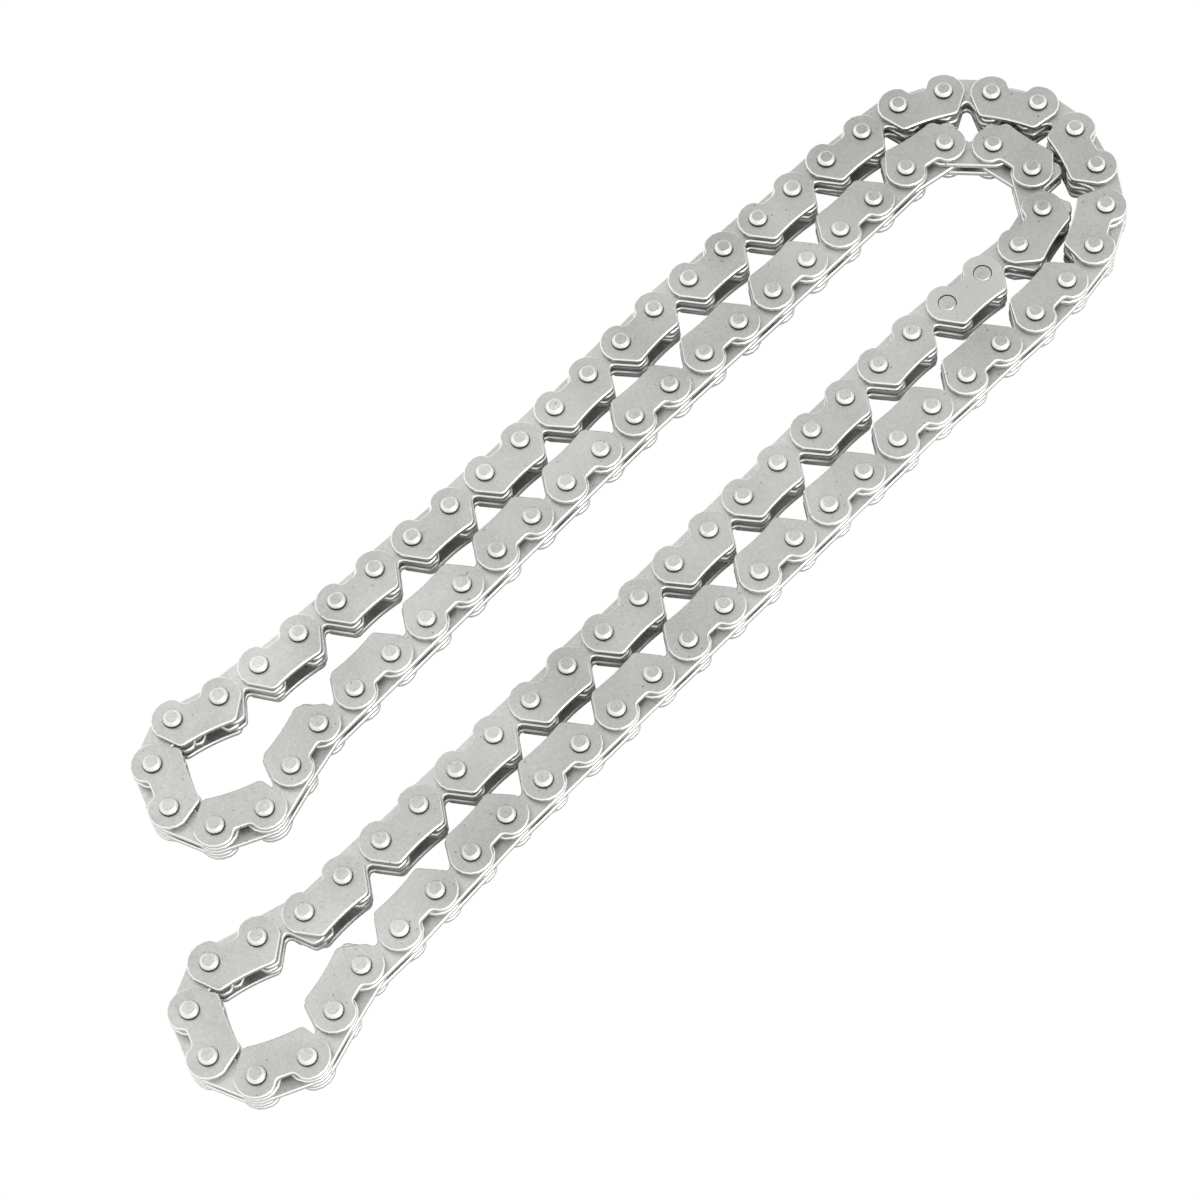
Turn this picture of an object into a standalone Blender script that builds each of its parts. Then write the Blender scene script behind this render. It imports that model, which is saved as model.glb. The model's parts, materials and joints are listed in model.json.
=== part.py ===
"""Endless silent timing chain, lying on its side as a folded loop.

A guide link is three plates held on two pins, one pitch apart. An inner link is two toothed
plates that swing on the pins of the guide links beside it. The five layers read guide, inner,
middle, inner, guide from the bottom to the top. The loop lies as a hairpin: two long arms with a
small end loop each, joined by a wide outer bend and by an inner bend that folds backwards.
"""
import math

import bmesh
import bpy
import numpy as np
from mathutils import Matrix

MM = 0.001

# Chain sizes
PITCH = 6.35 * MM
PLATE = 0.80 * MM
SIDE_GAP = 0.10 * MM
PIN_RADIUS = 1.15 * MM
PIN_PROUD = 0.70 * MM
PIN_SIDES = 6
OUTER_LAYERS = (0, 4)
INNER_LAYERS = (1, 3)
MIDDLE_LAYER = 2

# Plate outline, measured from the line through the two pins, teeth towards +Y. The round ends of
# two plates in one layer face each other one pitch apart, and the flanks lie just inside them.
END_GAP = 0.75 * MM
FLANK_INSET = 0.10 * MM
FLANK_ANGLE = math.radians(35)
TOOTH_HEIGHT = 3.90 * MM
TIP_DROP = 0.30 * MM
ARCH_DIP = 0.25 * MM
BACK_HEIGHT = 2.75 * MM
TOOTH_TIP_INNER = 2.35 * MM
CROTCH_HEIGHT = 1.00 * MM
NOTCH_DEPTH = 1.45 * MM
NOTCH_HALF_WIDTH = 1.00 * MM
NOTCH_EDGE_ANGLE = -118
BACK_SHORTFALL = 0.20 * MM
LINK_END_ANGLES = (-60, -20, 20)
STRAND_END_ANGLES = (-50, -2)

# Running clearances
PIN_CLEARANCE = 0.15 * MM
OPEN_PIVOT_CLEARANCE = 0.25 * MM
COVER_CLEARANCE = 0.12 * MM

# How the loop lies: the bend in degrees at the first pin of each named link and of the links
# after it, positive towards the teeth. Links that aren't named run on straight.
START_HEADING = 128.9
GUIDES = 52
BENDS = {
    "inner_47": (-2, 1, -1, 4, 6, 19, 25, 15, 24, 25, 13, 23, 21, 2, 3),
    "guide_5": (4, 0, 0, -2, 0, 0, -3),
    "guide_10": (-2, 0, -14, 43, 43, 43, 43, 43, -2, -13),
    "guide_19": (-2,),
    "inner_22": (1, -11, -40, -35, -41, -41, -18, 2),
    "guide_27": (4,),
    "inner_31": (-1,),
    "inner_35": (-16, -1, 43, 43, 43, 43, 43, -2, -15, 3),
    "inner_41": (-3,),
}
CLOSING_STEPS = 20

# Where the inner bend folds back, these links face each other tooth to tooth, and the lines
# through their tooth tips stay at least this far apart
FACING_LINKS = (
    ("inner_23", "inner_52", 0.43 * MM),
    ("inner_24", "inner_50", 0.39 * MM),
)

# The pieces that turn as one, as runs of links in order from the held link of the outer bend
ROOT = ("outer_bend_guide_3", "guide_52", 1)
UPPER_BRANCH = (
    ("outer_bend_inner_3", "inner_52", 1),
    ("outer_bend_guide_4", "guide_1", 1),
    ("outer_bend_inner_4", "inner_1", 1),
    ("upper_outer_strand_1", "guide_2", 4),
    ("upper_outer_strand_2", "guide_4", 4),
    ("upper_outer_strand_3", "guide_6", 4),
    ("upper_outer_strand_4", "guide_8", 4),
    ("upper_outer_strand_5", "guide_10", 3),
    ("upper_loop_inner_1", "inner_11", 1),
    ("upper_loop_guide_1", "guide_12", 1),
    ("upper_loop_inner_2", "inner_12", 1),
    ("upper_loop_guide_2", "guide_13", 1),
    ("upper_loop_inner_3", "inner_13", 1),
    ("upper_inner_strand_1", "guide_14", 3),
    ("upper_inner_strand_2", "inner_15", 4),
    ("upper_inner_strand_3", "inner_17", 4),
    ("upper_inner_strand_4", "inner_19", 4),
    ("upper_inner_strand_5", "inner_21", 4),
    ("inner_bend_inner_1", "inner_23", 1),
    ("inner_bend_guide_1", "guide_24", 1),
    ("inner_bend_inner_2", "inner_24", 1),
    ("inner_bend_guide_2", "guide_25", 1),
    ("inner_bend_inner_3", "inner_25", 1),
)
LOWER_BRANCH = (
    ("outer_bend_inner_2", "inner_51", 1),
    ("outer_bend_guide_2", "guide_51", 1),
    ("outer_bend_inner_1", "inner_50", 1),
    ("outer_bend_guide_1", "guide_50", 1),
    ("lower_outer_strand_1", "guide_48", 4),
    ("lower_outer_strand_2", "guide_46", 4),
    ("lower_outer_strand_3", "guide_44", 4),
    ("lower_outer_strand_4", "guide_42", 4),
    ("lower_outer_strand_5", "inner_40", 3),
    ("lower_outer_strand_6", "guide_39", 3),
    ("lower_loop_inner_1", "inner_38", 1),
    ("lower_loop_guide_1", "guide_38", 1),
    ("lower_loop_inner_2", "inner_37", 1),
    ("lower_loop_guide_2", "guide_37", 1),
    ("lower_loop_inner_3", "inner_36", 1),
    ("lower_inner_strand_1", "inner_34", 4),
    ("lower_inner_strand_2", "inner_32", 4),
    ("lower_inner_strand_3", "inner_30", 4),
    ("lower_inner_strand_4", "inner_28", 4),
    ("lower_inner_strand_5", "inner_26", 4),
    ("master_link", "guide_26", 1),
)
OPEN_PIVOT_LINK = "inner_25"

# Each steel by the pieces that it makes: its name, its grey and its roughness
STEELS = {
    "guide": ("bright_guide_steel", 0.62, 0.28),
    "strand": ("tumbled_link_steel", 0.58, 0.30),
    "inner": ("toothed_plate_steel", 0.46, 0.34),
    "master": ("flat_master_steel", 0.66, 0.32),
}
WARM_TINT = (1.0, 0.985, 0.955)

LINKS = 2 * GUIDES
HALF = PITCH / 2
END_RADIUS = (PITCH - END_GAP) / 2
FLANK_NORMAL = END_RADIUS - FLANK_INSET
LAYER = PLATE + SIDE_GAP
STACK_TOP = 2 * PIN_PROUD + max(OUTER_LAYERS) * LAYER + PLATE


def clear_scene():
    for thing in list(bpy.data.objects):
        bpy.data.objects.remove(thing, do_unlink=True)


def steel(name, grey, roughness):
    """A bright, slightly warm steel with its own grey and roughness."""
    material = bpy.data.materials.new(name)
    material.use_nodes = True
    shader = material.node_tree.nodes["Principled BSDF"]
    shader.inputs["Base Color"].default_value = (*(grey * tint for tint in WARM_TINT), 1)
    shader.inputs["Metallic"].default_value = 1.0
    shader.inputs["Roughness"].default_value = roughness
    return material


# The outlines

def flank_x(y):
    """The straight outer flank of a tooth, at height y."""
    return HALF + (FLANK_NORMAL - y * math.sin(FLANK_ANGLE)) / math.cos(FLANK_ANGLE)


def plate_end(angles):
    """Points on the round end about a pin, by their angles in degrees from the link's length."""
    turns = [math.radians(angle) for angle in angles]
    return [(HALF + END_RADIUS * math.cos(a), END_RADIUS * math.sin(a)) for a in turns]


def mirrored(half):
    """A closed outline from its right half, in turn from the back to the teeth."""
    return half + [(-x, y) for x, y in reversed(half) if x > 0]


def guide_outline(end_angles):
    """The outer plate: notched back, round ends and a shallow arch where the teeth would be."""
    notch = [(NOTCH_HALF_WIDTH, NOTCH_DEPTH - BACK_HEIGHT)]
    ends = plate_end((NOTCH_EDGE_ANGLE,) + end_angles)
    tip = [(flank_x(TOOTH_HEIGHT), TOOTH_HEIGHT)]
    return mirrored(notch + ends + tip + [(0, TOOTH_HEIGHT - ARCH_DIP)])


def toothed_outline(end_angles):
    """The driving plate: straight back, round ends and two teeth with a crotch between them."""
    back = [(HALF - BACK_SHORTFALL, -BACK_HEIGHT)]
    shoulder = TOOTH_HEIGHT - TIP_DROP
    teeth = [(flank_x(shoulder), shoulder), (TOOTH_TIP_INNER, TOOTH_HEIGHT), (0, CROTCH_HEIGHT)]
    return mirrored(back + plate_end(end_angles) + teeth)


def hexagon(x, inner_radius):
    """A hole or pin outline whose flats lie at inner_radius from the pin at x."""
    radius = inner_radius / math.cos(math.pi / PIN_SIDES)
    turns = [2 * math.pi * i / PIN_SIDES for i in range(PIN_SIDES)]
    return [(x + radius * math.cos(a), radius * math.sin(a)) for a in turns]


# Solids in a link's own frame: pins at x = -HALF and +HALF, layers stacked up from the pin ends

def layer_heights(layer, fills_space):
    """The bottom and top of a layer, or of the whole space between its two neighbours."""
    low = PIN_PROUD + layer * LAYER
    extra = SIDE_GAP if fills_space else 0
    return low - extra, low + PLATE + extra


def prism(outline, low, high):
    """A solid with straight walls over a closed outline."""
    shape = bmesh.new()
    base = shape.faces.new([shape.verts.new((x, y, low)) for x, y in outline])
    walls = bmesh.ops.extrude_face_region(shape, geom=[base], use_keep_orig=True)["geom"]
    top = [item for item in walls if isinstance(item, bmesh.types.BMVert)]
    bmesh.ops.translate(shape, verts=top, vec=(0, 0, high - low))
    bmesh.ops.recalc_face_normals(shape, faces=shape.faces[:])
    return shape


def pin(x, low, high):
    return prism(hexagon(x, PIN_RADIUS * math.cos(math.pi / PIN_SIDES)), low, high)


def hole(x, clearance):
    """A cutter through the whole stack, clear of the pin's corners."""
    return prism(hexagon(x, PIN_RADIUS + clearance), -PIN_PROUD, STACK_TOP + PIN_PROUD)


# How the loop lies

def link_number(name):
    kind, number = name.split("_")
    return 2 * (int(number) - 1) + (kind == "inner")


def chosen_bends():
    bends = np.zeros(LINKS)
    for name, run in BENDS.items():
        for step, bend in enumerate(run):
            bends[(link_number(name) + step) % LINKS] = math.radians(bend)
    return bends


def tooth_line(link, pins, headings):
    """The middle of a link's line through its tooth tips, and the way that its teeth point."""
    along = np.exp(1j * headings[link])
    out = 1j * along
    return pins[link] + HALF * along + TOOTH_HEIGHT * out, out


def closed_loop(bends):
    """Every link's heading and first pin. The bends change as little as closes the loop and parts
    the facing links. Plane points and directions are complex numbers."""
    order = np.arange(LINKS)
    for _ in range(CLOSING_STEPS):
        headings = math.radians(START_HEADING) + np.cumsum(bends)
        steps = PITCH * np.exp(1j * headings)
        pins = np.cumsum(steps) - steps
        end = steps.sum()
        swing = 1j * (end - pins)
        miss = [end.real, end.imag, bends.sum() - 2 * math.pi]
        effect = [swing.real, swing.imag, np.ones(LINKS)]
        for near_name, far_name, gap in FACING_LINKS:
            near, far = link_number(near_name), link_number(far_name)
            near_line, out = tooth_line(near, pins, headings)
            far_line, _ = tooth_line(far, pins, headings)
            spare = ((far_line - near_line) * out.conjugate()).real - gap
            if spare < 0:
                between = (order > near) & (order <= far)
                miss.append(spare)
                effect.append(between * (1j * (far_line - pins) * out.conjugate()).real)
        bends = bends - np.linalg.lstsq(np.array(effect), np.array(miss), rcond=None)[0]
    return headings, pins


HEADINGS, PINS = closed_loop(chosen_bends())


def link_place(link):
    """From a link's own frame to the loop."""
    middle = PINS[link] + HALF * np.exp(1j * HEADINGS[link])
    turn = Matrix.Rotation(HEADINGS[link], 4, "Z")
    return Matrix.Translation((middle.real, middle.imag, 0)) @ turn


def is_guide(link):
    return link % 2 == 0


# Bodies

def as_objects(name, shapes, collection):
    """Each shape becomes an object of its own in the collection."""
    made = []
    for shape in shapes:
        mesh = bpy.data.meshes.new(name)
        shape.to_mesh(mesh)
        shape.free()
        made.append(bpy.data.objects.new(name, mesh))
        collection.objects.link(made[-1])
    return made


def combine(piece, operation, shapes):
    """Unite the piece with the shapes, or cut them out of it, and keep the result as its mesh."""
    helpers = bpy.data.collections.new(piece.name + "_helpers")
    as_objects(piece.name + "_helper", shapes, helpers)
    step = piece.modifiers.new(operation.lower(), "BOOLEAN")
    step.operation = operation
    step.operand_type = "COLLECTION"
    step.collection = helpers
    bpy.context.view_layer.update()
    evaluated = piece.evaluated_get(bpy.context.evaluated_depsgraph_get())
    result = bpy.data.meshes.new_from_object(evaluated)
    piece.modifiers.clear()
    piece.data = result
    for helper in list(helpers.objects):
        bpy.data.objects.remove(helper, do_unlink=True)
    bpy.data.collections.remove(helpers)


def add_solid(name, shapes, holes, link_move, place, material):
    """One solid from shapes that share space, less its holes, with its origin at place."""
    for shape in shapes + holes:
        bmesh.ops.transform(shape, matrix=link_move, verts=shape.verts[:])
    piece = as_objects(name, shapes[:1], bpy.context.scene.collection)[0]
    if len(shapes) > 1:
        combine(piece, "UNION", shapes[1:])
    if holes:
        combine(piece, "DIFFERENCE", holes)
    piece.data.name = name
    piece.data.materials.clear()
    piece.data.materials.append(material)
    piece.matrix_world = place


def guide_shapes(end_angles):
    """The three plates and two pins of a guide link."""
    shapes = [prism(guide_outline(end_angles), *layer_heights(layer, False)) for layer in OUTER_LAYERS]
    shapes.append(prism(toothed_outline(end_angles), *layer_heights(MIDDLE_LAYER, False)))
    return shapes + [pin(x, 0, STACK_TOP) for x in (-HALF, HALF)]


def run_shapes(run, place):
    """Every plate and pin of a run of links, and the holes at its loose ends."""
    end_angles = LINK_END_ANGLES if len(run) == 1 else STRAND_END_ANGLES
    shapes = []
    holes = []
    for link in run:
        move = place.inverted() @ link_place(link)
        loose = []
        if is_guide(link):
            parts = guide_shapes(end_angles)
        else:
            sides = {-1: (link - 1) % LINKS, 1: (link + 1) % LINKS}
            loose = [side for side, neighbour in sides.items() if neighbour not in run]
            outline = toothed_outline(end_angles)
            parts = [prism(outline, *layer_heights(layer, not loose)) for layer in INNER_LAYERS]
        cuts = [hole(side * HALF, PIN_CLEARANCE) for side in loose]
        for part in parts + cuts:
            bmesh.ops.transform(part, matrix=move, verts=part.verts[:])
        shapes += parts
        holes += cuts
    return shapes, holes


def hinge_of(first, count, at_start):
    """The pin that a run turns about, with X along the run's first link."""
    pin_at = PINS[first] if at_start else PINS[(first + count) % LINKS]
    turn = Matrix.Rotation(HEADINGS[first], 4, "Z")
    return Matrix.Translation((pin_at.real, pin_at.imag, 0)) @ turn


def add_inner_link(name, link, place, materials):
    """Two loose toothed plates that turn together on the pins of their neighbours."""
    clearance = OPEN_PIVOT_CLEARANCE if link == link_number(OPEN_PIVOT_LINK) else PIN_CLEARANCE
    move = place.inverted() @ link_place(link)
    for layer, side in zip(INNER_LAYERS, ("lower_plate", "upper_plate")):
        plate = [prism(toothed_outline(LINK_END_ANGLES), *layer_heights(layer, False))]
        holes = [hole(x, clearance) for x in (-HALF, HALF)]
        add_solid(f"{name}_{side}", plate, holes, move, place, materials["inner"])


def add_master_link(name, link, place, materials):
    """The closing link: a plate with two pins, a loose middle plate and a pressed cover plate."""
    move = place.inverted() @ link_place(link)
    bottom, top = OUTER_LAYERS
    pin_ends = layer_heights(top, False)[1]
    plates = {
        "pin_plate": (guide_outline(LINK_END_ANGLES), bottom, "master"),
        "middle_plate": (toothed_outline(LINK_END_ANGLES), MIDDLE_LAYER, "inner"),
        "cover_plate": (guide_outline(LINK_END_ANGLES), top, "master"),
    }
    for kind, (outline, layer, steel_name) in plates.items():
        shapes = [prism(outline, *layer_heights(layer, False))]
        holes = []
        if kind == "pin_plate":
            shapes += [pin(x, 0, pin_ends) for x in (-HALF, HALF)]
        else:
            holes = [hole(x, COVER_CLEARANCE) for x in (-HALF, HALF)]
        add_solid(f"{name}_{kind}", shapes, holes, move, place, materials[steel_name])


def add_run(name, first_name, count, at_start, materials):
    first = link_number(first_name)
    place = hinge_of(first, count, at_start)
    if name == "master_link":
        add_master_link(name, first, place, materials)
    elif count == 1 and not is_guide(first):
        add_inner_link(name, first, place, materials)
    else:
        run = [(first + step) % LINKS for step in range(count)]
        shapes, holes = run_shapes(run, place)
        kind = "guide" if count == 1 else "strand"
        add_solid(name, shapes, holes, Matrix.Identity(4), place, materials[kind])


def stand_on_origin():
    """The middle of the loop's outline goes to the origin, and the lower pin ends to z = 0."""
    bpy.context.view_layer.update()
    pieces = list(bpy.context.scene.collection.objects)
    points = np.concatenate([
        np.array([tuple(o.matrix_world @ v.co) for v in o.data.vertices]) for o in pieces
    ])
    low, high = points.min(axis=0), points.max(axis=0)
    shift = Matrix.Translation((-(low[0] + high[0]) / 2, -(low[1] + high[1]) / 2, -low[2]))
    for piece in pieces:
        piece.matrix_world = shift @ piece.matrix_world


def build():
    clear_scene()
    materials = {kind: steel(*finish) for kind, finish in STEELS.items()}
    add_run(*ROOT, True, materials)
    for run in UPPER_BRANCH:
        add_run(*run, True, materials)
    for run in LOWER_BRANCH:
        add_run(*run, False, materials)
    stand_on_origin()


build()
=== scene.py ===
# %% [markdown]
# A silent timing chain drives the camshafts from the crankshaft. It is made of stamped steel
# plates laid side by side on pins, and the plates have teeth on one edge where a roller chain
# would have rollers. This one lies on its side, folded up for its packet, so every link shows its
# outer plate, its pin heads and, between the layers, the edges of the plates below.
#
# The frame comes first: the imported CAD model, which moves at its joints. Everything modelled here
# stands exactly where a link of that frame stands.

# %% Load the frame
import math

import bmesh
import bpy
import json
import numpy as np
from mathutils import Matrix

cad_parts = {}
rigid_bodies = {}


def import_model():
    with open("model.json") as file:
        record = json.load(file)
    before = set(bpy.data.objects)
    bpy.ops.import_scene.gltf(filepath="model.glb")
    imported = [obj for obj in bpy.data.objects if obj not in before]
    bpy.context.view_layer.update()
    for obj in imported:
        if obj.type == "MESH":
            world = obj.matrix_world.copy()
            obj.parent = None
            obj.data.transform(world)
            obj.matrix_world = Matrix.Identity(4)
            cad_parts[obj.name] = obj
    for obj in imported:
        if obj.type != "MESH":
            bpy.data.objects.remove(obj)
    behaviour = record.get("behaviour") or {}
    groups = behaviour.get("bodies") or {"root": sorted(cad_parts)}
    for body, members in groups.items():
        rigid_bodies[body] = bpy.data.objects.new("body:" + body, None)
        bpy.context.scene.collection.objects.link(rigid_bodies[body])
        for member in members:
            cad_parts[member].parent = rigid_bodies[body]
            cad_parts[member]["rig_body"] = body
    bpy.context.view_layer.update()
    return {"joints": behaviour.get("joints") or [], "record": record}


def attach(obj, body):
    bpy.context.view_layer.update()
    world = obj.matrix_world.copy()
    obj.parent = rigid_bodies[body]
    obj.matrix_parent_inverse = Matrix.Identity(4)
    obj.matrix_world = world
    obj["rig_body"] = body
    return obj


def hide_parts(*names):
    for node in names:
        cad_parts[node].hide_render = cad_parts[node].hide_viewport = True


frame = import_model()
bpy.ops.object.select_all(action="DESELECT")

# %% [markdown]
# A chain is the same few parts over and over, so a handful of sizes says everything. A plate is
# drawn about the middle of the line through its two pins, with its teeth towards +Y. The blanks
# are drawn with one Blender unit for a millimetre. Operators such as bevel and merge have
# thresholds meant for large scenes, and a plate 0.8 mm thick drawn in metres would trip them.

# %% Sizes of one link, in millimetres
PITCH = 6.35
HALF = PITCH / 2
PLATE = 0.80
LAYER = 0.90
PIN_RADIUS = 1.15
PIN_PROUD = 0.70
TOP_LAYER = 4
STACK_TOP = 2 * PIN_PROUD + TOP_LAYER * LAYER + PLATE
END_RADIUS = 2.80
BACK = -2.75
TIP = 3.90
FLANK_ANGLE = math.radians(35)
FLANK_NORMAL = 2.70
TIP_X = HALF + (FLANK_NORMAL - TIP * math.sin(FLANK_ANGLE)) / math.cos(FLANK_ANGLE)
print(f"stack {STACK_TOP:.1f} mm tall, tooth tips {2 * TIP_X:.2f} mm apart")

# %% [markdown]
# The loop is a closed polygon with 104 sides of one pitch. Its shape is given by the bend at each
# pin, which is what the hand that folded it decided, and the bends are then changed as little as
# possible until the last link meets the first. That is a small least-squares problem: each bend
# swings the rest of the chain about its own pin.

# %% Bends of the folded loop
LINKS = 104
START_HEADING = 128.9
BENDS = {
    "inner_47": (-2, 1, -1, 4, 6, 19, 25, 15, 24, 25, 13, 23, 21, 2, 3),
    "guide_5": (4, 0, 0, -2, 0, 0, -3),
    "guide_10": (-2, 0, -14, 43, 43, 43, 43, 43, -2, -13),
    "guide_19": (-2,),
    "inner_22": (1, -11, -40, -35, -41, -41, -18, 2),
    "guide_27": (4,),
    "inner_31": (-1,),
    "inner_35": (-16, -1, 43, 43, 43, 43, 43, -2, -15, 3),
    "inner_41": (-3,),
}


def link_number(name):
    kind, number = name.split("_")
    return 2 * (int(number) - 1) + (kind == "inner")


def link_name(link):
    return f"{'inner' if link % 2 else 'guide'}_link_{link // 2 + 1:02d}"


bends = np.zeros(LINKS)
for name, run in BENDS.items():
    for step, bend in enumerate(run):
        bends[(link_number(name) + step) % LINKS] = math.radians(bend)
print("bends add up to", round(math.degrees(bends.sum()), 1), "degrees before closing")

# %% Close the loop
CLOSING_STEPS = 20
for _ in range(CLOSING_STEPS):
    headings = math.radians(START_HEADING) + np.cumsum(bends)
    ends = np.cumsum(np.exp(1j * headings))
    starts = np.concatenate(([0], ends[:-1]))
    miss = [ends[-1].real, ends[-1].imag, bends.sum() - 2 * math.pi]
    swing = 1j * (ends[-1] - starts)
    effect = np.array([swing.real, swing.imag, np.ones(LINKS)])
    bends = bends - np.linalg.lstsq(effect, np.array(miss), rcond=None)[0]
print(f"the loop closes within {abs(ends[-1]) * PITCH:.6f} mm")

# %% [markdown]
# The polygon is drawn about its own first pin, and the frame about the middle of the loop. One
# hinge that both know gives the shift between them, and the other hinges prove it.

# %% Move the loop onto the frame's hinges
hinges = {j["child"]: 1000 * complex(*j["pos_m"][:2]) for j in frame["joints"]}
KNOWN_LINK, KNOWN_BODY = "inner_52", "outer_bend_inner_3"
pins = PITCH * starts
pins = pins + hinges[KNOWN_BODY] - pins[link_number(KNOWN_LINK)]
worst = max(np.abs(pins - hinge).min() for hinge in hinges.values())
print(f"{len(hinges)} hinges, each within {worst:.4f} mm of a pin")


def link_place(link):
    """From a blank in millimetres to the link's place in the frame, in metres."""
    middle = (pins[link] + HALF * np.exp(1j * headings[link])) / 1000
    move = Matrix.Translation((middle.real, middle.imag, 0))
    return move @ Matrix.Rotation(headings[link], 4, "Z") @ Matrix.Scale(0.001, 4)


# %% [markdown]
# Which body carries which link? A ray dropped through the middle of a link meets that link's own
# plate first, because the plates of its neighbours end a little before the middle. So the frame
# itself answers the question, and no list has to be kept.

# %% Find the body under each link
bpy.context.view_layer.update()
depsgraph = bpy.context.evaluated_depsgraph_get()
carrier = []
for link in range(LINKS):
    above = link_place(link).translation
    above.z = 2 * STACK_TOP / 1000
    carrier.append(bpy.context.scene.ray_cast(depsgraph, above, (0, 0, -1))[4]["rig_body"])
longest = max(carrier.count(body) for body in carrier)
print(len(set(carrier)), "bodies carry", LINKS, "links, at most", longest, "each")

# %% [markdown]
# The steel. Chain plates are stamped, hardened and then tumbled in a drum with abrasive stones,
# which leaves a satin face with a fine dull mottle and a tiny pit here and there, and polishes
# whatever sticks out: the rims of the plates and the slopes of the pin heads. Those rims and slopes
# are also painted near white, a painted highlight. The cut edge between two rims stays duller. The
# wall of a pin head and a ring at its foot are painted near black, a painted shade. So a face, its
# rim and its cut edge are three materials, and so are a head's top, slope and foot. One function
# makes them all, because they differ only in tone, roughness and depth of dent. The mottle is noise
# on Object coordinates. Every link's mesh holds its own place in the loop, so each one meets
# another part of the noise, and no two plates look the same.


# %% Noise for a material
def noise(material, scale, detail):
    """Noise that fills the space of the loop, measured in metres."""
    place = material.node_tree.nodes.new("ShaderNodeTexCoord")
    texture = material.node_tree.nodes.new("ShaderNodeTexNoise")
    texture.inputs["Scale"].default_value = scale
    texture.inputs["Detail"].default_value = detail
    material.node_tree.links.new(place.outputs["Object"], texture.inputs["Vector"])
    return texture.outputs["Fac"]


def spread(material, source, low, high, start=0.3, end=0.7):
    """Stretch the part of a noise between start and end over the range from low to high."""
    ranger = material.node_tree.nodes.new("ShaderNodeMapRange")
    ranger.inputs["From Min"].default_value = start
    ranger.inputs["From Max"].default_value = end
    ranger.inputs["To Min"].default_value = low
    ranger.inputs["To Max"].default_value = high
    material.node_tree.links.new(source, ranger.inputs["Value"])
    return ranger.outputs["Result"]


# %% A tumbled steel
GRAIN_SHARE = 0.35
PIT_START, PIT_END = 0.80, 0.86
PIT_TONE = 0.55


def tumbled_steel(name, dark, light, rough, smooth, dent):
    """Satin steel between two greys and two roughnesses, with dents of the given depth."""
    material = bpy.data.materials.new(name)
    material.use_nodes = True
    nodes, links = material.node_tree.nodes, material.node_tree.links
    shader = nodes["Principled BSDF"]
    shader.inputs["Metallic"].default_value = 1.0
    cloud = noise(material, 70, 3)
    grain = noise(material, 2600, 4)
    peen = noise(material, 1100, 3)
    pits = noise(material, 2200, 0)

    mottle = nodes.new("ShaderNodeMath")
    mottle.operation = "MULTIPLY_ADD"
    mottle.inputs[1].default_value = GRAIN_SHARE
    links.new(spread(material, grain, 0, 1), mottle.inputs[0])
    links.new(spread(material, cloud, 0, 1 - GRAIN_SHARE), mottle.inputs[2])
    tone = nodes.new("ShaderNodeMix")
    tone.data_type = "RGBA"
    tone.inputs["A"].default_value = dark + (1,)
    tone.inputs["B"].default_value = light + (1,)
    links.new(mottle.outputs["Value"], tone.inputs["Factor"])

    pitted = nodes.new("ShaderNodeMix")
    pitted.data_type = "RGBA"
    pitted.inputs["B"].default_value = tuple(PIT_TONE * part for part in dark) + (1,)
    links.new(tone.outputs["Result"], pitted.inputs["A"])
    links.new(spread(material, pits, 0, 1, PIT_START, PIT_END), pitted.inputs["Factor"])
    links.new(pitted.outputs["Result"], shader.inputs["Base Color"])

    links.new(spread(material, peen, smooth, rough), shader.inputs["Roughness"])
    bump = nodes.new("ShaderNodeBump")
    bump.inputs["Strength"].default_value = 1.0
    bump.inputs["Distance"].default_value = dent
    links.new(peen, bump.inputs["Height"])
    links.new(bump.outputs["Normal"], shader.inputs["Normal"])
    return material


FACE = tumbled_steel("tumbled_face", (0.368, 0.371, 0.354), (0.57, 0.575, 0.548), 0.54, 0.40, 8e-6)
CLEAN = tumbled_steel("clean_face", (0.48, 0.484, 0.465), (0.61, 0.615, 0.59), 0.48, 0.38, 5e-6)
# The rims are burnished, and are also painted near white, far lighter than the face, as a painted
# highlight.
RIM = tumbled_steel("burnished_rim_painted_highlight", (0.86, 0.86, 0.84), (0.96, 0.96, 0.94), 0.46, 0.38, 2e-6)
EDGE = tumbled_steel("cut_edge", (0.44, 0.443, 0.425), (0.72, 0.725, 0.70), 0.52, 0.40, 1e-5)
HEAD = tumbled_steel("pin_end", (0.33, 0.333, 0.32), (0.68, 0.685, 0.66), 0.46, 0.32, 2e-5)
# The slopes of the pin heads are painted near white, as a painted highlight.
SLOPE = tumbled_steel("peened_slope_painted_highlight", (0.80, 0.80, 0.78), (0.95, 0.95, 0.93), 0.42, 0.34, 6e-6)
# The wall of a pin head and the ring at its foot are painted near black, as painted shade.
FOOT_SHADE = tumbled_steel("painted_shade_foot", (0.07, 0.07, 0.065), (0.18, 0.18, 0.17), 0.50, 0.36, 4e-6)
INNER = tumbled_steel("toothed_face", (0.42, 0.423, 0.405), (0.64, 0.645, 0.615), 0.54, 0.40, 8e-6)
STEELS = (FACE, CLEAN, RIM, EDGE, HEAD, SLOPE, FOOT_SHADE, INNER)
print(len(STEELS), "steels")

# %% [markdown]
# The outline of a plate is traced as a modeller would trace it: a circle for the round end about
# one pin, of which only the outer arc is kept, and then its loose ends are extruded from corner
# to corner as far as the middle line. A Mirror modifier gives the other half. Corners come last,
# by bevelling single vertices, each with the radius that the stamping die gives it.


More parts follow.
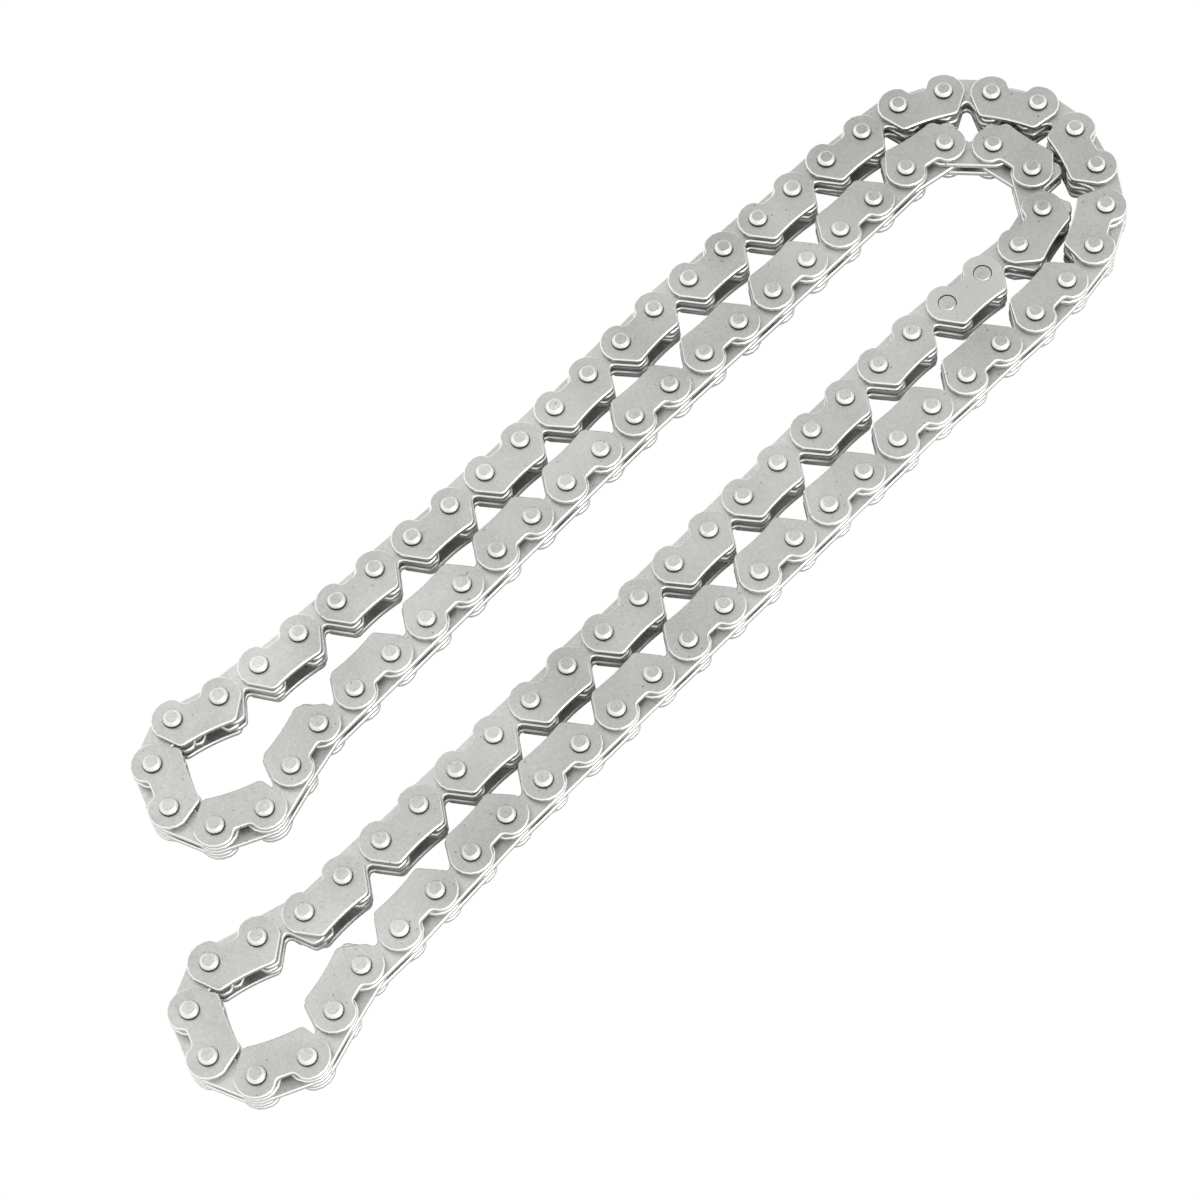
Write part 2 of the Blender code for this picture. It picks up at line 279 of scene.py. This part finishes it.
# %% Helpers for edit mode
def pick(test):
    """Select the vertices whose place passes the test, and the edges and faces they complete."""
    bpy.ops.mesh.select_all(action="DESELECT")
    shape = bmesh.from_edit_mesh(bpy.context.object.data)
    for vertex in shape.verts:
        vertex.select_set(bool(test(vertex.co)))
    shape.select_flush(True)
    shape.select_flush_mode()
    bmesh.update_edit_mesh(bpy.context.object.data)


def near(x, y):
    return lambda place: abs(place.x - x) < 0.01 and abs(place.y - y) < 0.01


def trace(start, corners):
    """Extrude a loose end of the outline from corner to corner."""
    pick(near(*start))
    for x, y in corners:
        step = (x - start[0], y - start[1], 0)
        bpy.ops.mesh.extrude_region_move(TRANSFORM_OT_translate={"value": step})
        start = (x, y)


def round_corner(x, y, radius, segments):
    """Round a corner of the outline and its mirror image."""
    pick(lambda place: near(x, y)(place) or near(-x, y)(place))
    bpy.ops.mesh.bevel(offset=radius, segments=segments, affect="VERTICES")


def bevel_level_edges(width, material):
    """Chamfer every level edge. Only edge mode can hold the edges without the walls between."""
    bpy.ops.mesh.select_mode(type="EDGE")
    bpy.ops.mesh.select_all(action="DESELECT")
    shape = bmesh.from_edit_mesh(bpy.context.object.data)
    for edge in shape.edges:
        if abs(edge.verts[0].co.z - edge.verts[1].co.z) < 0.01:
            edge.select_set(True)
    bmesh.update_edit_mesh(bpy.context.object.data)
    bpy.ops.mesh.bevel(offset=width, segments=1, affect="EDGES", material=material)
    bpy.ops.mesh.select_mode(type="VERT")


def on_end(angle):
    """The point of the round end at an angle in degrees from the link's length."""
    turn = math.radians(angle)
    return (HALF + END_RADIUS * math.cos(turn), END_RADIUS * math.sin(turn))


# %% Trace and stamp a plate
END_SIDES = 18
END_TURN = math.radians(10)
RIM_WIDTH = 0.15
PLATE_SMOOTH = math.radians(28)


def traced_half(name, first_angle, last_angle):
    """The arc of a round end, between two angles in degrees, ready to be traced on.

    The circle has a vertex every 20 degrees and is turned so that both angles fall on one.
    """
    bpy.ops.mesh.primitive_circle_add(
        vertices=END_SIDES, radius=END_RADIUS, location=(HALF, 0, 0), rotation=(0, 0, END_TURN)
    )
    blank = bpy.context.object
    blank.name = name
    bpy.ops.object.transform_apply(location=True, rotation=True, scale=False)
    bpy.ops.object.mode_set(mode="EDIT")

    def outside(place):
        angle = math.degrees(math.atan2(place.y, place.x - HALF))
        return not first_angle - 1 < angle < last_angle + 1

    pick(outside)
    bpy.ops.mesh.delete(type="VERT")
    return blank


def mirror_and_fill(blank):
    bpy.ops.object.mode_set(mode="OBJECT")
    mirror = blank.modifiers.new("other_half", "MIRROR")
    mirror.merge_threshold = 0.001
    bpy.ops.object.modifier_apply(modifier=mirror.name)
    bpy.ops.object.mode_set(mode="EDIT")
    bpy.ops.mesh.select_all(action="SELECT")
    bpy.ops.mesh.edge_face_add()


def stamp(blank, face):
    """Give the flat blank its thickness, its dull cut edge and its rims, painted bright as a
    painted highlight.
    """
    bpy.ops.mesh.select_all(action="SELECT")
    bpy.ops.mesh.extrude_region_move(TRANSFORM_OT_translate={"value": (0, 0, PLATE)})
    bpy.ops.mesh.select_all(action="SELECT")
    bpy.ops.mesh.normals_make_consistent(inside=False)
    for steel in (face, RIM, EDGE):
        blank.data.materials.append(steel)
    for wall in bmesh.from_edit_mesh(blank.data).faces:
        if abs(wall.normal.z) < 0.5:
            wall.material_index = 2
    bevel_level_edges(RIM_WIDTH, 1)
    bpy.ops.object.mode_set(mode="OBJECT")
    bpy.ops.object.shade_smooth_by_angle(angle=PLATE_SMOOTH)
    print(blank.name, len(blank.data.polygons), "faces")
    return blank


# %% [markdown]
# The outer plates, called guide plates, run along the sides of the sprocket and keep the chain on
# it. They have no teeth, only a shallow arch between two corners, and a notch in the back that
# makes the link lighter.

# %% Guide plate
NOTCH_EDGE = -120
NOTCH_CORNER = (1.08, -1.25)
ARCH_MIDDLE = 3.62
ARCH_STEPS = (2.8, 1.9, 0.95, 0)
FLANK_START = 20


def guide_plate():
    blank = traced_half("guide_plate", NOTCH_EDGE, FLANK_START)
    rise = TIP - ARCH_MIDDLE
    arch = [(x, ARCH_MIDDLE + rise * (x / TIP_X) ** 2) for x in ARCH_STEPS]
    trace(on_end(FLANK_START), [(TIP_X, TIP)] + arch)
    trace(on_end(NOTCH_EDGE), [NOTCH_CORNER, (0, NOTCH_CORNER[1])])
    mirror_and_fill(blank)
    round_corner(TIP_X, TIP, 0.45, 2)
    round_corner(*NOTCH_CORNER, 0.35, 2)
    round_corner(*on_end(NOTCH_EDGE), 0.4, 2)
    return stamp(blank, FACE)


outer_plate = guide_plate()

# %% [markdown]
# The plates between them carry the load and drive the sprocket: a straight back, and two teeth
# with a rounded crotch between.

# %% Toothed plate
BACK_ANGLE = -80
TOOTH_INNER = (2.35, TIP)
CROTCH_SIDE = (0.42, 1.15)
CROTCH = 0.98


def toothed_plate():
    blank = traced_half("toothed_plate", BACK_ANGLE, FLANK_START)
    trace(on_end(FLANK_START), [(TIP_X, TIP), TOOTH_INNER, CROTCH_SIDE, (0, CROTCH)])
    trace(on_end(BACK_ANGLE), [(HALF, BACK), (0, BACK)])
    mirror_and_fill(blank)
    round_corner(TIP_X, TIP, 0.4, 2)
    round_corner(*TOOTH_INNER, 0.3, 2)
    round_corner(*CROTCH_SIDE, 0.2, 2)
    return stamp(blank, INNER)


inner_plate = toothed_plate()

# %% [markdown]
# Pins are cut from drawn wire, pressed through the guide plates and peened over, which spreads
# the end into a low head with a flat top and burnished slopes, and those slopes are painted near
# white as a painted highlight. A thin ring round its foot and the wall of the head are painted near
# black as painted shade. So a cylinder's cap is extruded ring by ring and scaled to the width at
# each height: first the dark ring, then the head's wall, then its slopes. Sixteen sides are
# enough for something this small that comes back a hundred times. A flush pin only has its end
# bevelled. The loose plates need holes, and those are the one place for a Boolean: two drills
# through a copy.

# %% Pins
ROUND_SIDES = 16
HEAD_ROOT = 0.05
# Each ring of a head: how far it rises over the one before, and its radius
HEAD_RINGS = ((0.0, 1.30), (0.06, 1.30), (0.0, 1.19), (0.27, 1.22), (0.18, 1.13), (0.24, 0.80))
FLUSH_BEVEL = 0.12
PIN_SMOOTH = math.radians(36)


def plain_pin(x, low, high):
    middle = (x, 0, (low + high) / 2)
    bpy.ops.mesh.primitive_cylinder_add(
        vertices=ROUND_SIDES, radius=PIN_RADIUS, depth=high - low, location=middle
    )
    pin = bpy.context.object
    bpy.ops.object.transform_apply(location=True, rotation=False, scale=False)
    for steel in (HEAD, SLOPE, FOOT_SHADE):
        pin.data.materials.append(steel)
    bpy.ops.object.mode_set(mode="EDIT")
    return pin


def headed_pin(x, low, high):
    """A pin through the stack between two heights, with a peened head beyond each."""
    pin = plain_pin(x, low + HEAD_ROOT, high - HEAD_ROOT)
    for way, root in ((1, high - HEAD_ROOT), (-1, low + HEAD_ROOT)):
        pick(lambda place: abs(place.z - root) < 0.01)
        radius = PIN_RADIUS
        for rise, wider in HEAD_RINGS:
            bpy.ops.mesh.extrude_region_move(TRANSFORM_OT_translate={"value": (0, 0, way * rise)})
            scale = wider / radius
            bpy.ops.transform.resize(value=(scale, scale, 1), center_override=(x, 0, 0))
            radius = wider
    return finished_pin(pin)


def flush_pin(x, low, high):
    pin = plain_pin(x, low, high)
    bevel_level_edges(FLUSH_BEVEL, -1)
    return finished_pin(pin)


def finished_pin(pin):
    """The slopes of a head are burnished and painted light, a painted highlight; its wall and the
    ring at its foot are painted near black, a painted shade.
    """
    bpy.ops.object.mode_set(mode="OBJECT")
    for face in pin.data.polygons:
        is_end = len(face.vertices) == ROUND_SIDES
        is_slope = 0.15 < abs(face.normal.z) < 0.99
        face.material_index = 0 if is_end else 1 if is_slope else 2
    bpy.ops.object.shade_smooth_by_angle(angle=PIN_SMOOTH)
    print("pin with", len(pin.data.polygons), "faces")
    return pin


# %% Copies and holes
def copy_of(piece, name, rise=0.0):
    """A copy with a mesh of its own, lifted by a height in millimetres."""
    double = piece.copy()
    double.data = piece.data.copy()
    double.name = double.data.name = name
    double.data.transform(Matrix.Translation((0, 0, rise)))
    bpy.context.scene.collection.objects.link(double)
    return double


def bore(plate, radius):
    """Drill a plate at both pins."""
    for x in (-HALF, HALF):
        bpy.ops.mesh.primitive_cylinder_add(
            vertices=ROUND_SIDES, radius=radius, depth=4 * STACK_TOP, location=(x, 0, 0)
        )
        drill = bpy.context.object
        cut = plate.modifiers.new("bore", "BOOLEAN")
        cut.object = drill
        bpy.context.view_layer.objects.active = plate
        bpy.ops.object.modifier_apply(modifier=cut.name)
        bpy.data.objects.remove(drill, do_unlink=True)
    return plate


def joined(name, pieces):
    bpy.ops.object.select_all(action="DESELECT")
    for piece in pieces:
        piece.select_set(True)
    bpy.context.view_layer.objects.active = pieces[0]
    bpy.ops.object.join()
    pieces[0].name = pieces[0].data.name = name
    bpy.ops.object.select_all(action="DESELECT")
    return pieces[0]


# %% [markdown]
# One whole guide link is riveted up from three plates and two pins, layers 0, 2 and 4 of the
# stack, and one inner link from two loose plates in layers 1 and 3. These two are the patterns
# that every link of the loop is copied from.


# %% One guide link and one inner link
def layer_bottom(layer):
    return PIN_PROUD + layer * LAYER


RUNNING_GAP = 0.06
stack_low, stack_high = layer_bottom(0), layer_bottom(TOP_LAYER) + PLATE
guide_pattern = joined("guide_pattern", [
    copy_of(outer_plate, "bottom", layer_bottom(0)),
    copy_of(inner_plate, "middle", layer_bottom(2)),
    copy_of(outer_plate, "top", layer_bottom(TOP_LAYER)),
    headed_pin(-HALF, stack_low, stack_high),
    headed_pin(HALF, stack_low, stack_high),
])
drilled = bore(copy_of(inner_plate, "drilled"), PIN_RADIUS + RUNNING_GAP)
inner_pattern = joined("inner_pattern", [
    copy_of(drilled, "lower", layer_bottom(1)),
    copy_of(drilled, "upper", layer_bottom(3)),
])
print(len(guide_pattern.data.polygons), "and", len(inner_pattern.data.polygons), "faces")

# %% [markdown]
# The loop was closed with a master link. Its two pins are fixed in the lower plate, and a cover
# plate is pressed onto them from above, flush with their ends and not peened, so a thin dark ring
# shows round each pin: the gap itself, and the pin's side inside it, painted near black as painted
# shade.

# %% Master link
RING = 0.09
master_plate = copy_of(outer_plate, "master_plate")
master_plate.data.materials[0] = CLEAN
master_patterns = {
    "master_link_pin_plate": joined("master_pin_pattern", [
        copy_of(master_plate, "base", layer_bottom(0)),
        flush_pin(-HALF, 0, stack_high),
        flush_pin(HALF, 0, stack_high),
    ]),
    "master_link_middle_plate": copy_of(drilled, "master_middle_pattern", layer_bottom(2)),
    "master_link_cover_plate": bore(
        copy_of(master_plate, "master_cover_pattern", layer_bottom(TOP_LAYER)), PIN_RADIUS + RING
    ),
}
print("master link in", len(master_patterns), "pieces")


# %% [markdown]
# Laying the chain: each link is a copy of its pattern with its place worked into the mesh, so its
# object stays at the origin. It rides on the body that the ray found, and it stands for the CAD
# nodes of that body.

# %% Lay the links
def lay(pattern, name, link, nodes):
    piece = copy_of(pattern, name)
    piece.data.transform(link_place(link))
    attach(piece, carrier[link])
    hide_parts(*nodes)


members = frame["record"]["behaviour"]["bodies"]
for link in range(LINKS):
    body = carrier[link]
    if body == "master_link":
        for node, pattern in master_patterns.items():
            lay(pattern, node + "_steel", link, [node])
    elif link % 2:
        lay(inner_pattern, link_name(link), link, members[body])
    else:
        lay(guide_pattern, link_name(link), link, members[body])

link_patterns = (guide_pattern, inner_pattern, *master_patterns.values())
for pattern in (outer_plate, inner_plate, master_plate, drilled, *link_patterns):
    bpy.data.objects.remove(pattern, do_unlink=True)

# %% [markdown]
# The studio: the chain lies on a plain white floor. In a packshot the paper is exposed until its
# shadows vanish, and the narrow gaps between the links are as white as the rest. So what the
# camera sees of the floor directly is an even glow. Every other ray meets plain white paper,
# which the chain does shade, and which passes that shade on to the walls of the links.

# %% Floor
bpy.ops.mesh.primitive_plane_add(size=6, location=(0, 0, 0))
floor = bpy.context.object
floor.name = "floor"
paper = bpy.data.materials.new("white_paper")
paper.use_nodes = True
paper_shader = paper.node_tree.nodes["Principled BSDF"]
paper_shader.inputs["Base Color"].default_value = (0.85, 0.85, 0.85, 1)
paper_shader.inputs["Roughness"].default_value = 0.9
glow = paper.node_tree.nodes.new("ShaderNodeEmission")
ray = paper.node_tree.nodes.new("ShaderNodeLightPath")
blend = paper.node_tree.nodes.new("ShaderNodeMixShader")
wire = paper.node_tree.links.new
wire(ray.outputs["Is Camera Ray"], blend.inputs[0])
wire(paper_shader.outputs["BSDF"], blend.inputs[1])
wire(glow.outputs["Emission"], blend.inputs[2])
wire(blend.outputs["Shader"], paper.node_tree.nodes["Material Output"].inputs["Surface"])
floor.data.materials.append(paper)

# %% [markdown]
# The camera stands where the photographer's stood: above the chain and to one side, with a long
# lens.

# %% Camera
bpy.ops.object.camera_add(location=(-0.12222, -0.16208, 0.38094))
camera = bpy.context.object
camera.rotation_euler = [math.radians(angle) for angle in (26.778, 4.904, -45.553)]
camera.data.lens = 102.0
camera.data.sensor_width = 36.0
bpy.context.scene.camera = camera

# %% [markdown]
# Bright steel shows what stands round it more than what shines on it. The world works as a
# photographer's light tent, an even white on every side, so that only the gaps between plates are
# dark. Two round soft lamps break the evenness. The one low in front puts the gleam on the rims
# and on the near slope of each pin head. The one far behind is half mirrored in the flat faces,
# more on the left of the picture than on the right.

# %% Light
world = bpy.data.worlds.new("light_tent")
world.use_nodes = True
tent = world.node_tree.nodes["Background"]
tent.inputs["Color"].default_value = (1, 1, 1, 1)
tent.inputs["Strength"].default_value = 0.99
bpy.context.scene.world = world


def soft_lamp(name, place, turn, size, watts):
    bpy.ops.object.light_add(type="AREA", location=place)
    lamp = bpy.context.object
    lamp.name = name
    lamp.rotation_euler = [math.radians(angle) for angle in turn]
    lamp.data.shape = "DISK"
    lamp.data.size = size
    lamp.data.energy = watts


soft_lamp("front_lamp", (0.10, -0.90, 0.60), (56, 0, 6), 0.7, 3.5)
soft_lamp("side_lamp", (-0.12, 0.85, 0.85), (-45, 0, 8), 0.6, 2.6)
bpy.context.scene.view_settings.view_transform = "Standard"
